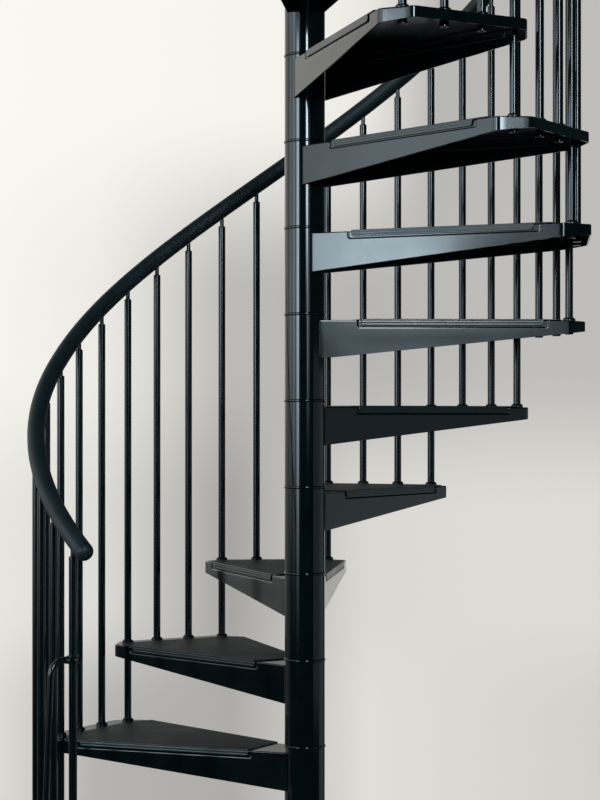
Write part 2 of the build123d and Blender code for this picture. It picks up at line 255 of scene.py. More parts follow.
def plastic_finish(name, dark, light, gloss, grain_size, grain_depth, shine=0.5, edge=0.0):
    """Moulded plastic: two close tints, a spread of roughness and a pimpled grain."""
    finish, tree, shader = new_finish(name, shine, cool_shine)
    place = add_node(tree, "ShaderNodeTexCoord")
    vary_film(tree, shader, add_noise(tree, place, 15.0, 6.0, 0.65), dark, light, gloss)
    pimples = spread(tree, add_noise(tree, place, grain_size, 2.0), 0.0, 1.0, *grain_range)
    add_relief(tree, shader, pimples, 0.5, grain_depth, edge)
    return finish


print("grain rises between", grain_range[0], "and", grain_range[1], "of its noise")

# %% [markdown]
# ## Zinc on the small fixings
#
# The bolts of the base plate and the landing and the screws of the clamp are plated steel, dulled a
# little and darkened in patches by handling.

# %% The plating
zinc, tree, shader = new_finish("dull_zinc")
shader.inputs["Metallic"].default_value = 1.0
patches = add_noise(tree, add_node(tree, "ShaderNodeTexCoord"), 90.0, 5.0, 0.6)
vary_film(tree, shader, patches, (0.10, 0.105, 0.11), (0.26, 0.265, 0.27), (0.45, 0.28))
add_relief(tree, shader, patches, 0.2, 0.0001)
print("plating", zinc.name)

# %% [markdown]
# ## Which part has which finish
#
# The frame's parts carry slots for paint and plastic, and a few parts take a finish of their own: the
# column is glossier than the bars, the small fittings have eased edges, and the landing has the
# steps' grip.

# %% The finishes
sheet_paint = paint_finish("sheet_paint", (0.10, 0.15), 330.0, 0.00004)
bar_paint = paint_finish("bar_paint", (0.13, 0.17), 500.0, 0.000003)
column_paint = paint_finish("column_paint", (0.06, 0.10), 500.0, 0.000003)
fitting_paint = paint_finish("fitting_paint", (0.08, 0.13), 500.0, 0.00005, 0.0009)
tread_grip = plastic_finish("tread_grip", (0.0012, 0.0060, 0.0076), (0.0032, 0.0100, 0.0122),
                            (0.46, 0.56), 480.0, 0.00045, 0.17)
finishes = {
    "black_paint": bar_paint,
    "cover_plastic": plastic_finish("cover_plastic", (0.0016, 0.0056, 0.0068), (0.0034, 0.0090, 0.0105),
                                    (0.26, 0.34), 700.0, 0.00003, 0.65),
    "collar_plastic": plastic_finish("collar_plastic", (0.0006, 0.0022, 0.0028), (0.0014, 0.0036, 0.0044),
                                     (0.22, 0.32), 600.0, 0.00003, edge=0.0008),
    "rail_plastic": plastic_finish("rail_plastic", (0.0036, 0.0090, 0.0115), (0.0066, 0.0140, 0.0172),
                                   (0.48, 0.58), 650.0, 0.00002, 0.35),
}
finish_of = {"column_sleeves": column_paint, "landing_frame": sheet_paint, "landing_cover": tread_grip,
             "column_cap": fitting_paint, "base_plate": fitting_paint, "brace_clamp": fitting_paint}
for subpart in frame["record"]["subparts"]:
    node = nodes[subpart["node"]]
    finish = finish_of.get(subpart["node"], finishes[subpart["material_slot"]])
    for index in range(len(node.data.materials)):
        node.data.materials[index] = finish
print("finishes", sorted(finishes))


# %% [markdown]
# ## Places on the stair
#
# Twelve steps climb clockwise, 210 mm apart, each turned 26 degrees from the one below; the two
# lowest turn a little more. A step is built with the column's axis at the origin and x running
# outward along its middle, then set on its rise. The functions below give the direction of a step
# and the place of a baluster.

# %% Directions and places
mm = 0.001
step_count = 12
rise = 210 * mm
first_direction = 200.9
step_turn = 26.0
low_extra = 1.25
low_steps = 2
per_step = 3
baluster_circle = 653 * mm


def step_place(number):
    """Where a step's own axes sit on the stair."""
    turn = first_direction - step_turn * (number - 1) - low_extra * min(number - 1, low_steps)
    return Matrix.Translation((0, 0, number * rise)) @ Matrix.Rotation(math.radians(turn), 4, "Z")


def baluster_direction(number):
    """Direction of a baluster, in radians, counted up the stair from the starting one."""
    back = step_turn * number + low_extra * min(number, low_steps * per_step)
    return math.radians(first_direction + step_turn / 2 - back / per_step)


def baluster_point(number, height):
    """A point on a baluster's axis."""
    turn = baluster_direction(number)
    return Vector((baluster_circle * math.cos(turn), baluster_circle * math.sin(turn), height))


print("top step stands at", round(step_count * rise, 3), "m")

# %% [markdown]
# ## The plan of a step
#
# Seen from above a step widens from the column to a shoulder, turns a facet and ends in a straight
# tip. A pressed step has rounded corners, so the plan is walked stop by stop: each stop has a place,
# an outward direction and a note of whether it is on a side. Half is walked, and the other half is
# its mirror image.

# %% Walking a plan
hub_end = 22 * mm
hub_half = 45 * mm
hub_point = Vector((hub_end, -hub_half))
shoulder_point = Vector((619.96, -195.99)) * mm
tip_point = Vector((682.0, -147.99)) * mm
corner_radius = 20 * mm


def steps_between(low, high, count):
    """Evenly spaced values from low to high, both included."""
    return [low + (high - low) * i / count for i in range(count + 1)]


def right_of(direction):
    """The direction to the right, which is outward on a plan."""
    return Vector((direction.y, -direction.x))


def round_corner(before, corner, after, radius, count):
    """Stops round a corner between two straight runs."""
    first = (corner - before).normalized()
    second = (after - corner).normalized()
    turn = first.angle_signed(second, 0.0)
    tangent = radius * math.tan(abs(turn) / 2)
    centre = corner - first * tangent - right_of(first) * radius
    stops = []
    for i in range(count + 1):
        outward = right_of(first)
        outward.rotate(Matrix.Rotation(-turn * i / count, 2))
        stops.append((centre + outward * radius, outward, False))
    return stops


def mirrored(stops):
    """The other half of a plan, walked back."""
    return [(Vector((p.x, -p.y)), Vector((o.x, -o.y)), side) for p, o, side in reversed(stops)]


def side_half_width(reach):
    """Half the width of a step at a distance from the axis."""
    slope = (-shoulder_point.y - hub_half) / (shoulder_point.x - hub_end)
    return hub_half + slope * (reach - hub_end)


print("a step is", round(2 * side_half_width(0.5) / mm), "mm wide half a metre out")

# %% [markdown]
# ## Side recesses
#
# Each side of a step has a long shallow recess that takes the cover's lip. In pressed sheet a recess
# has no sharp corner: its ends roll out over the top and its floor runs into the side by a rolled
# shoulder, which catches the light as one bright line. The depth of the press at a point is found
# from its distance to the recess, first as a box with round corners, then joined to the space over
# the step by a round blend.

# %% The press depth
recess_start, recess_end = 109.5 * mm, 563.96 * mm
recess_height, recess_depth = 20 * mm, 3 * mm
recess_corner, recess_roll = 7 * mm, 5 * mm
shoulder_width = 4.5 * mm
fullness = 0.97


def smooth(value):
    """A smooth rise from 0 to 1."""
    value = min(max(value, 0.0), 1.0)
    return value * value * (3 - 2 * value)


def press_depth(reach, drop):
    """How far the side is pressed in at a distance from the axis and a depth under the steel's top."""
    across = max(recess_start - reach, reach - recess_end) + recess_corner
    down = drop - recess_height + recess_corner
    box = min(max(across, down), 0.0) + math.hypot(max(across, 0.0), max(down, 0.0)) - recess_corner
    bend = math.hypot(max(recess_roll - box, 0.0), max(recess_roll - drop, 0.0))
    inside = max(recess_roll, min(box, drop)) - bend
    way = fullness * min(max(-inside / shoulder_width, 0.0), 1.0)
    return recess_depth * (1 - math.sqrt(1 - way ** 2)) / (1 - math.sqrt(1 - fullness ** 2))


print("press depth in the middle", round(press_depth(0.3, 0.01) / mm, 2), "mm")

# %% [markdown]
# ## The section of a pressed step
#
# At each stop the sheet has a section: a flat top, a round fold, the side, a cut lower edge and the
# same again on the inside. The section is a list of insets and drops, so the whole pan is one grid of
# stops by rows. Thin sheet is never quite flat, so the sides also lean in and out by a fraction of a
# millimetre, which is what makes the reflections swim.

# %% The pan's section
steel_top = -3 * mm
sheet = 4 * mm
fold_radius = 2.5 * mm
edge_ease = 0.6 * mm
hub_depth = 97 * mm
depth_slope = 0.10536
flat_margin = 1.5 * mm
inner_fold = 2 * mm
wave_height = 0.8 * mm
wave_ends, wave_fade = (50 * mm, 600 * mm), 80 * mm
wave_top, wave_top_fade = 22 * mm, 40 * mm
wave_rate = (7, 14)
hub_ease = (1.3 * mm, 0.45 * mm, 0.1 * mm)
press_rows = [4, 5.5, 7.5, 10, 12.5, 14, 15, 15.45, 15.6, 15.8, 16.1, 16.6, 17.2, 17.9, 18.6, 19.3, 20, 22]
inner_rows = (20, 18.5, 17, 15.5, 12, 8, 6)


def rounded_edge(radius, count):
    """Insets and drops from a flat top round a quarter circle to a side."""
    turns = [math.radians(turn) for turn in steps_between(0, 90, count)]
    return [(radius * (1 - math.sin(turn)), radius * (1 - math.cos(turn))) for turn in turns]


def pan_depth(reach):
    """Depth of a step's lower edge under the steel's top."""
    return hub_depth + steel_top - depth_slope * (reach - hub_end)


def wave(reach, drop, seed):
    """A slow lean of the sheet, nothing at its folds and ends."""
    near = smooth((reach - wave_ends[0]) / wave_fade) * smooth((wave_ends[1] - reach) / wave_fade)
    near *= smooth((drop - wave_top) / wave_top_fade)
    level = noise.noise(Vector((reach * wave_rate[0], drop * wave_rate[1], seed)))
    return wave_height * near * (0.5 + 0.5 * level)


def pan_section(stop, ease, seed):
    """Points of the sheet at one stop, from the flat top round the outside and up the inside."""
    place, outward, side = stop
    drop_end = pan_depth(place.x)
    press_end = press_rows[-1] * mm
    rows = [(fold_radius + flat_margin, 0.0)] + rounded_edge(fold_radius, 5)
    rows += [(0.0, row * mm) for row in press_rows]
    rows += [(0.0, drop) for drop in steps_between(press_end, drop_end - edge_ease, 6)[1:]]
    rows.append((edge_ease, drop_end))
    inner = [(sheet - edge_ease, drop_end), (sheet, drop_end - edge_ease)]
    inner += [(sheet, drop) for drop in steps_between(drop_end - edge_ease, press_end, 3)[1:]]
    inner += [(sheet, row * mm) for row in inner_rows]
    inner += [(sheet + inner_fold * way, sheet + inner_fold * up) for way, up in ((0.3, 0.3), (1, 0), (2, 0))]
    points = []
    for index, (inset, drop) in enumerate(rows + inner):
        if side:
            inset += press_depth(place.x, drop) + wave(place.x, drop, seed)
        if index < len(rows):
            inset += ease
        flat = place - outward * inset
        points.append(Vector((flat.x, flat.y, steel_top - drop)))
    return points


print("a step is", round(pan_depth(0.5) / mm), "mm deep half a metre out")

# %% [markdown]
# ## The plan of a pressed step
#
# Stops crowd together where the recess begins and ends, and are far apart on plain runs.

# %% The pan's plan
def pan_plan():
    """Stops round a step from one side of the column to the other."""
    reaches = [22, 22.5, 23.3, 25, 32, 45, 62, 80, 92, 99]
    reaches += [101 + 1.5 * i for i in range(16)]
    reaches += [128, 145, 180, 220, 260, 300, 340, 380, 420, 460, 500, 525, 540, 549]
    reaches += [551 + i for i in range(24)]
    reaches += [577, 584, 594, 604]
    slope = (shoulder_point - hub_point).normalized()
    half = [(Vector((r * mm, -side_half_width(r * mm))), right_of(slope), True) for r in reaches]
    half += round_corner(hub_point, shoulder_point, tip_point, corner_radius, 9)
    turn_stops = round_corner(shoulder_point, tip_point, Vector((tip_point.x, 0)), corner_radius, 9)
    start, end = half[-1][0], turn_stops[0][0]
    half += [(start.lerp(end, t), half[-1][1], False) for t in (0.2, 0.4, 0.6, 0.8)]
    half += turn_stops
    start = half[-1][0]
    half += [(start.lerp(Vector((start.x, 0)), t), half[-1][1], False) for t in (0.25, 0.5, 0.75)]
    return half + [(Vector((start.x, 0)), Vector((1, 0)), False)] + mirrored(half)


print("stops round a step", len(pan_plan()))


# %% [markdown]
# ## Joining sections into a mesh
#
# A grid of sections becomes quads. Flat faces with a hole, such as the top of a step, are cut into
# triangles by a polygon filler and keep points of their own, so that they stay flat under smooth
# shading. Folds sharper than a set angle are marked sharp.

# %% Mesh helpers
flat_enough = 0.9


def add_sections(mesh, sections, closed=False):
    """Quads between neighbouring sections; returns the rows of vertices."""
    grid = [[mesh.verts.new(point) for point in section] for section in sections]
    pairs = list(zip(grid, grid[1:]))
    if closed:
        pairs.append((grid[-1], grid[0]))
    for here, there in pairs:
        for i in range(len(here) - 1):
            mesh.faces.new((here[i], here[i + 1], there[i + 1], there[i]))
    return grid


def add_flat(mesh, loops, upward):
    """A flat face with holes, from loops of points."""
    verts = [mesh.verts.new(point) for loop in loops for point in loop]
    for triple in geometry.tessellate_polygon(loops):
        face = mesh.faces.new([verts[i] for i in triple])
        face.normal_update()
        if (face.normal.z > 0) != upward:
            face.normal_flip()


def make_piece(name, mesh, finish, replaced=(), sharp=38.0, top_finish=None):
    """Turns a built mesh into a piece of the stair with its finish, and another for its flat top."""
    data = bpy.data.meshes.new(name)
    mesh.to_mesh(data)
    mesh.free()
    data.polygons.foreach_set("use_smooth", [True] * len(data.polygons))
    data.set_sharp_from_angle(angle=math.radians(sharp))
    data.materials.append(finish)
    if top_finish:
        data.materials.append(top_finish)
        for face in data.polygons:
            face.material_index = int(face.normal.z > flat_enough)
    piece = add_object(name, data)
    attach(piece, "root")
    if replaced:
        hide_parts(*replaced)
    return piece


def ring_points(centre, radius, height, count=32):
    """Points round a level circle."""
    x, y = centre
    turns = [2 * math.pi * i / count for i in range(count)]
    return [Vector((x + radius * math.cos(a), y + radius * math.sin(a), height)) for a in turns]


print("points round a circle", len(ring_points((0, 0), 1.0, 0.0)))

# %% [markdown]
# ## The pressed steps
#
# Each step of the frame is a folded pan with square recesses. The pans made here have the same size
# and the same thickness and stand in the same place, with the rolled shoulders that a press leaves.
# The front corner has the hole that a baluster from the step below passes through.

# %% Pressed pans
sleeve_clear = 49.2 * mm
corner_hole = Vector((636.26, 146.89)) * mm
hole_radius = 9.9 * mm


def clear_of_sleeve(point):
    """Keeps a point of the sheet outside the column's sleeve."""
    flat = Vector((point.x, point.y))
    if flat.length < sleeve_clear:
        flat = flat.normalized() * sleeve_clear
    return Vector((flat.x, flat.y, point.z))


def hub_arc(first, last, count=24):
    """Points on the sleeve's circle between the ends of a flat top."""
    start, end = math.atan2(last.y, last.x), math.atan2(first.y, first.x)
    turns = steps_between(start, end, count)[1:-1]
    return [Vector((sleeve_clear * math.cos(a), sleeve_clear * math.sin(a), first.z)) for a in turns]


def build_pan(seed):
    """One pressed step about the column's axis."""
    mesh = bmesh.new()
    plan = pan_plan()
    sections = []
    for index, stop in enumerate(plan):
        from_end = min(index, len(plan) - 1 - index)
        ease = hub_ease[from_end] if from_end < len(hub_ease) else 0.0
        section = pan_section(stop, ease, seed + (20 if index > len(plan) / 2 else 0))
        sections.append([clear_of_sleeve(point) for point in section])
    grid = add_sections(mesh, sections)
    mesh.faces.new(grid[0])
    mesh.faces.new(list(reversed(grid[-1])))
    for row, upward in ((0, True), (-1, False)):
        rim = [section[row] for section in sections]
        hole = ring_points(corner_hole, hole_radius, rim[0].z)
        add_flat(mesh, [rim + hub_arc(rim[0], rim[-1]), hole], upward)
    hole_sections = [[Vector((p.x, p.y, steel_top)), Vector((p.x, p.y, steel_top - sheet))]
                     for p in reversed(ring_points(corner_hole, hole_radius, 0))]
    add_sections(mesh, hole_sections, closed=True)
    return mesh


for number in range(1, step_count + 1):
    mesh = build_pan(number)
    mesh.transform(step_place(number))
    pan = make_piece(f"pressed_pan_{number:02d}", mesh, sheet_paint, (f"tread_{number:02d}",))
low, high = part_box("tread_05")
print("pan faces", len(pan.data.polygons), "and the frame's fifth step measures",
      [round((far - near) / mm) for near, far in zip(low, high)], "mm")


# %% [markdown]
# ## Step covers
#
# A plastic cover lies on each step, flush with the walking level, and hangs a lip into each side
# recess. Its outer corners slant away from the balusters. The plan is walked round in one closed
# loop, and the lip's depth along a side follows the recess: round at the lower corners, and curled
# out over the top at its outer end.

# %% The cover's plan
cover_start = 119.5 * mm
lip_end = 549.96 * mm
lip_height = 13.5 * mm
lip_corner = 7 * mm
lip_curl = 5 * mm
cover_outer = 624 * mm
cover_proud = 0.8 * mm
slant_turn = math.radians(34.2)
collar_clear = 16.3 * mm
cover_plan_rounding = 2 * mm


def slant_half(reach):
    """Half-width of the slanting corner at a distance from the axis."""
    away = (reach - corner_hole.x) * math.cos(slant_turn)
    return corner_hole.y - (collar_clear + away) / math.sin(slant_turn)


def cover_half_width(reach):
    """Half-width of the cover along its side."""
    slope = side_half_width(1.0) - side_half_width(0.0)
    return side_half_width(reach) + cover_proud * math.hypot(1.0, slope)


def slant_start():
    """Where the slanting corner meets the side."""
    low, high = 0.5, cover_outer
    for _ in range(40):
        middle = (low + high) / 2
        low, high = (middle, high) if slant_half(middle) > cover_half_width(middle) else (low, middle)
    return low


def cover_plan():
    """Stops round a cover, as a closed loop."""
    meet = slant_start()
    hub_corner = Vector((cover_start, -cover_half_width(cover_start)))
    slant_corner = Vector((meet, -cover_half_width(meet)))
    outer_corner = Vector((cover_outer, -slant_half(cover_outer)))
    hub_middle, outer_middle = Vector((cover_start, 0)), Vector((cover_outer, 0))
    half = [(hub_middle.lerp(hub_corner, t), Vector((-1, 0)), False) for t in (0.0, 0.33, 0.66, 0.9)]
    half += round_corner(hub_middle, hub_corner, slant_corner, cover_plan_rounding, 4)
    outward = right_of((slant_corner - hub_corner).normalized())
    reaches = [122.2 + 1.2 * i for i in range(5)]
    reaches += [129, 132, 145, 170, 210, 260, 310, 360, 410, 460, 500, 530, 538, 541, 543, 544.5, 546,
                547.2, 548.3, 549.1, 549.6, 549.9, 550, 550.6, 551.4, 552.4, 553.4, 554.5, 556, 562, 572, 580]
    half += [(Vector((r * mm, -cover_half_width(r * mm))), outward, True) for r in reaches]
    half += round_corner(hub_corner, slant_corner, outer_corner, cover_plan_rounding, 4)
    half.append((slant_corner.lerp(outer_corner, 0.5), half[-1][1], False))
    half += round_corner(slant_corner, outer_corner, outer_middle, cover_plan_rounding, 4)
    half.append((outer_corner.lerp(outer_middle, 0.5), Vector((1, 0)), False))
    return half + [(outer_middle, Vector((1, 0)), False)] + mirrored(half)[:-1]


def lip_depth(reach):
    """How far the lip hangs under the steel's top at a distance from the axis."""
    if reach <= lip_end:
        near = max(0.0, lip_corner - (reach - cover_start), lip_corner - (lip_end - reach))
        return lip_height - lip_corner + math.sqrt(lip_corner ** 2 - min(near, lip_corner) ** 2)
    past = max(lip_end + lip_curl - reach, 0.0)
    return lip_curl - math.sqrt(lip_curl ** 2 - past ** 2)


print("cover stops", len(cover_plan()), "and its corner starts at", round(slant_start() / mm, 1), "mm")

# %% [markdown]
# ## The section of a cover
#
# The section runs from the flat top over a round edge, down the lip's face, round its lower edge and
# back up to the underside. Two fine grooves run along the face of a lip. Where there is no lip, the
# rows close up at the cover's own thickness. The lip's inside is held off the recess behind it, also
# at the corners, where a plain inset would run into the steel.

# %% The cover's section
cover_thickness = 3 * mm
cover_edge = 1.5 * mm
lip_thickness = 3.5 * mm
lip_ease = 0.8 * mm
groove_depth = 0.3 * mm
grooves = (4.6 * mm, 11.0 * mm)
groove_half = 0.7 * mm
cover_margin = 2 * mm
inside_ease = 0.3 * mm
under_gap = 0.05 * mm
lip_turn = 0.1


def cover_section(stop):
    """Points of a cover at one stop, from the flat top round the edge to the underside."""
    place, outward, side = stop
    on_lip = side or abs(outward.y) > lip_turn
    drop_end = cover_thickness + (lip_depth(place.x) if on_lip else 0.0)
    rows = [(cover_edge + cover_margin, 0.0)] + rounded_edge(cover_edge, 4)
    for middle in grooves:
        rows += [(0.0, middle - groove_half), (groove_depth, middle), (0.0, middle + groove_half)]
    floor_row = drop_end - lip_ease
    faced = [(inset if drop < floor_row else 0.0, min(drop, floor_row)) for inset, drop in rows]
    faced += [(0.0, floor_row), (0.25 * lip_ease, drop_end - 0.25 * lip_ease), (lip_ease, drop_end),
              (lip_thickness - inside_ease, drop_end), (lip_thickness, drop_end - inside_ease),
              (lip_thickness, cover_thickness - under_gap)]
    points = []
    for inset, drop in faced:
        flat = place - outward * inset
        if drop > cover_thickness:
            innermost = side_half_width(flat.x) + cover_proud - lip_thickness
            flat.y = math.copysign(max(abs(flat.y), innermost), place.y)
        points.append(Vector((flat.x, flat.y, -drop)))
    return points


def build_cover():
    """One cover about the column's axis."""
    mesh = bmesh.new()
    sections = [cover_section(stop) for stop in cover_plan()]
    add_sections(mesh, sections, closed=True)
    for row, upward in ((0, True), (-1, False)):
        add_flat(mesh, [[section[row] for section in sections]], upward)
    return mesh


for number in range(1, step_count + 1):
    mesh = build_cover()
    mesh.transform(step_place(number))
    cover = make_piece(f"step_cover_{number:02d}", mesh, finishes["cover_plastic"],
                       (f"cover_{number:02d}",), 50.0, tread_grip)
print("cover faces", len(cover.data.polygons))


# %% [markdown]
# ## Turned and six-sided parts
#
# Rings, washers and caps are turned shapes: a profile of radius and height spun round an axis. Bolt
# heads are six-sided with their corners turned off at both faces, so each ring of a head is a circle
# or a hexagon. Both helpers add to one mesh, so that a whole set is one piece.

# %% Turned shapes
washer_ease = (0.4 * mm, 0.5 * mm)
face_share, corner_slope = 0.96, 0.5
six_sided_count = 36


def add_turned(mesh, profile, place, count=28):
    """Spins (radius, height) pairs, or a function that gives them at each turn, about an axis."""
    sections = []
    for i in range(count):
        turn = 2 * math.pi * i / count
        pairs = profile(turn) if callable(profile) else profile
        sections.append([place @ Vector((radius * math.cos(turn), radius * math.sin(turn), height))
                         for radius, height in pairs])
    add_sections(mesh, sections, closed=True)


def six_sided(across, turn):
    """Distance from the middle of a hexagon to its side at a turn."""
    return across / 2 / math.cos((turn % math.radians(60)) - math.radians(30))


def add_hexagon(mesh, across, height, inner, place):
    """A six-sided head with turned corners."""
    face = face_share * across / 2

    def profile_at(turn):
        six = six_sided(across, turn)
        drop = max(six - face, 0.0) * corner_slope
        return [(inner, 0.0), (face, 0.0), (six, drop), (six, height - drop), (face, height), (inner, height)]

    add_turned(mesh, profile_at, place, six_sided_count)


def washer_profile(bore, rim, height):
    """Half the section of a washer with eased rims."""
    lower, upper = washer_ease
    return [(bore, 0.0), (rim - lower, 0.0), (rim, lower), (rim, height - upper), (rim - upper, height),
            (bore, height)]


print("a 19 mm hexagon is", round(2 * six_sided(19, 0.0), 1), "mm over its corners")

# %% [markdown]
# ## Rings between the sleeves
#
# A thin ring parts each sleeve of the column from the next and stands a little proud of it. It is
# turned with a rolled rim, so that it shows as two fine dark joints with a bright glint between.

# %% Column rings
ring_lift = 8 * mm
ring_height = 7 * mm
ring_bore = 30.3 * mm
ring_rim = 50.8 * mm
ring_root = 48.3 * mm
ring_joint, ring_joint_lean = 0.5 * mm, 0.3 * mm
ring_flat = 0.6 * mm


def ring_profile():
    """Half the section of a ring: a flat face, a V joint and a rolled rim, then the same back."""
    foot = ring_root + ring_joint_lean
    reach, climb = ring_rim - foot, ring_height / 2 - ring_joint - ring_flat
    lower = [(ring_bore, 0.0), (ring_root, 0.0), (foot, ring_joint)]
    for turn in steps_between(0, math.pi / 2, 6)[1:]:
        lower.append((ring_rim - reach * (1 - math.sin(turn)), ring_joint + climb * (1 - math.cos(turn))))
    upper = [(radius, ring_height - height) for radius, height in reversed(lower)]
    return lower + upper + lower[:1]


rings = bmesh.new()
for number in range(1, step_count + 2):
    add_turned(rings, ring_profile(), Matrix.Translation((0, 0, number * rise + ring_lift)), 72)
rings = make_piece("column_ring_set", rings, column_paint, ("column_rings",), 50.0)
print("ring faces", len(rings.data.polygons))

# %% [markdown]
# ## Nuts under the steps
#
# Each baluster that stands on a step is held from below by a washer and a long round nut with a
# six-sided socket in its end, both black. All of them are one joined mesh.

# %% Washers and nuts
nut_radius = 10.5 * mm
nut_end = 28.5 * mm
nut_ease = 1 * mm
socket_across = 9 * mm
socket_depth = 6 * mm
washer_radius = 14 * mm
washer_height = 2 * mm
stud_radius = 5 * mm
nut_twist = 37


def barrel_profile(turn):
    """Section of a round nut at a turn, with a six-sided socket in its end."""
    six = six_sided(socket_across, turn)
    outside = [(stud_radius, washer_height), (nut_radius, washer_height), (nut_radius, nut_end - nut_ease)]
    end = [(nut_radius - nut_ease, nut_end), (six, nut_end)]
    return outside + end + [(six, nut_end - socket_depth), (0.0, nut_end - socket_depth)]


fixings = bmesh.new()
for number in range(1, step_count * per_step + 1):
    under = math.ceil(number / per_step) * rise + steel_top - sheet
    flip = Matrix.Rotation(math.pi, 4, "X") @ Matrix.Rotation(math.radians(nut_twist * number), 4, "Z")
    place = Matrix.Translation(baluster_point(number, under)) @ flip
    add_turned(fixings, washer_profile(stud_radius, washer_radius, washer_height), place)
    add_turned(fixings, barrel_profile, place, six_sided_count)
fixings = make_piece("foot_nuts", fixings, fitting_paint)
print("nut faces", len(fixings.data.polygons))

# %% [markdown]
# ## Bolts of the base plate and the landing
#
# The base plate is bolted to the floor through four holes, and the landing to the walls through two
# holes in each closed edge. The heads have the size that fits the holes of the frame. Those of the
# landing are inside its edges, as a fitter would turn them from below.

# %% Bolts
bolt_across = 19 * mm
bolt_head = 7.5 * mm
bolt_middle = 0.1 * mm
bolt_washer_bore, bolt_washer, bolt_washer_height = 6 * mm, 12 * mm, 2.5 * mm
shank_radius, shank_top = 6.2 * mm, 0.5 * mm
base_shank, landing_shank = 9 * mm, 3.5 * mm
plate_top = 10 * mm
base_bolt_circle = 125 * mm
base_bolt_twist = 0.4
landing_edge = 700 * mm
landing_bolt_height = 2681.5 * mm
landing_bolts = (-220 * mm, -560 * mm)


def add_bolt(mesh, place, shank):
    """A bolt head on a washer, with a shank that fills its hole."""
    on_washer = place @ Matrix.Translation((0, 0, bolt_washer_height))
    add_turned(mesh, washer_profile(bolt_washer_bore, bolt_washer, bolt_washer_height), place)
    add_hexagon(mesh, bolt_across, bolt_head, bolt_middle, on_washer)
    add_turned(mesh, [(0.0, -shank), (shank_radius, -shank), (shank_radius, shank_top)], place)


bolts = bmesh.new()
for i, spot in enumerate(ring_points((0, 0), base_bolt_circle, plate_top, 8)[1::2]):
    add_bolt(bolts, Matrix.Translation(spot) @ Matrix.Rotation(base_bolt_twist * i, 4, "Z"), base_shank)
inside = -landing_edge + sheet
for along in landing_bolts:
    for x, y, turn, axis in ((inside, along, 90, "Y"), (along, inside, -90, "X")):
        place = Matrix.Translation((x, y, landing_bolt_height)) @ Matrix.Rotation(math.radians(turn), 4, axis)
        add_bolt(bolts, place, landing_shank)
bolts = make_piece("floor_and_wall_bolts", bolts, zinc)
print("bolt faces", len(bolts.data.polygons))

# %% [markdown]
# ## Ends of the handrail
#
# A moulded cap closes each end of the handrail. It has a fine V joint where it meets the rail and
# swells into a full dome. The axis of each cap runs along the rail's slope at its end.

# %% Rail caps
rail_radius = 21.5 * mm
cap_length = 22 * mm
joint_depth, joint_width = 0.9 * mm, 0.9 * mm
joint_start, joint_step = 0.05 * mm, 0.12 * mm
straight_start, straight_end = 1.6 * mm, 3.2 * mm
dome_rise, dome_roundness = 0.95, 0.88
first_rail_height = 1172 * mm
rail_gain = 70 * mm
overrun = 0.42


def rail_end(number, sign):
    """Place of a cap: the rail's centre at an end, with z pointing out along the rail."""
    centre = baluster_point(number, first_rail_height + rail_gain * number)
    turn = baluster_direction(number)
    spacing = step_turn / per_step + (low_extra / per_step if number < 0 else 0.0)
    along = baluster_circle * math.radians(spacing)
    heading = Vector((along * math.sin(turn), -along * math.cos(turn), rail_gain)).normalized() * sign
    return Matrix.Translation(centre) @ heading.to_track_quat("Z", "Y").to_matrix().to_4x4()


def cap_profile():
    """A V joint, a short straight and a dome a little fuller than a half circle."""
    profile = [(rail_radius - joint_depth, joint_start), (rail_radius - joint_step, joint_width),
               (rail_radius, straight_start), (rail_radius, straight_end)]
    for turn in steps_between(0, math.pi / 2, 14)[1:]:
        height = straight_end + (cap_length - straight_end) * math.sin(turn) ** dome_rise
        profile.append((rail_radius * max(math.cos(turn), 0.0) ** dome_roundness, height))
    return profile


caps = bmesh.new()
add_turned(caps, cap_profile(), rail_end(-overrun, -1), 48)
add_turned(caps, cap_profile(), rail_end(step_count * per_step + overrun, 1), 48)
caps = make_piece("rail_caps", caps, finishes["rail_plastic"], ("handrail_caps",), 60.0)
print("cap faces", len(caps.data.polygons))

# %% [markdown]
# ## Screws of the brace clamp
#
# The clamp that ties the bent brace to the first baluster is pinched by two small socket screws, one
# on its ring and one on its boss. A socket head is a short cylinder with an eased rim and a recess
# for the key. At this size the recess is simply turned round.

# %% Clamp screws
clamp_height = 895 * mm
screw_radius, screw_height, screw_sunk = 3.2 * mm, 2 * mm, 2 * mm
screw_ease = 0.4 * mm
recess_mouth, recess_foot = 0.55 * screw_radius, 0.5 * screw_radius
recess_side, recess_floor = 0.9 * mm, 0.7 * mm
ring_screw, boss_screw = (0.0, 13.6 * mm), (16 * mm, 8.1 * mm)


screw_profile = [(screw_radius, -screw_sunk), (screw_radius, screw_height - screw_ease),
                 (screw_radius - screw_ease, screw_height), (recess_mouth, screw_height),
                 (recess_foot, recess_side), (0.0, recess_floor)]
screws = bmesh.new()
turn = baluster_direction(0)
outward = Vector((math.cos(turn), math.sin(turn), 0))
facing = Vector((-math.sin(turn), math.cos(turn), 0))
aim = facing.to_track_quat("Z", "Y").to_matrix().to_4x4()
for away, stand in (ring_screw, boss_screw):
    spot = baluster_point(0, clamp_height) + outward * away + facing * stand
    add_turned(screws, screw_profile, Matrix.Translation(spot) @ aim, 18)
screws = make_piece("clamp_screws", screws, zinc)
print("screw faces", len(screws.data.polygons))
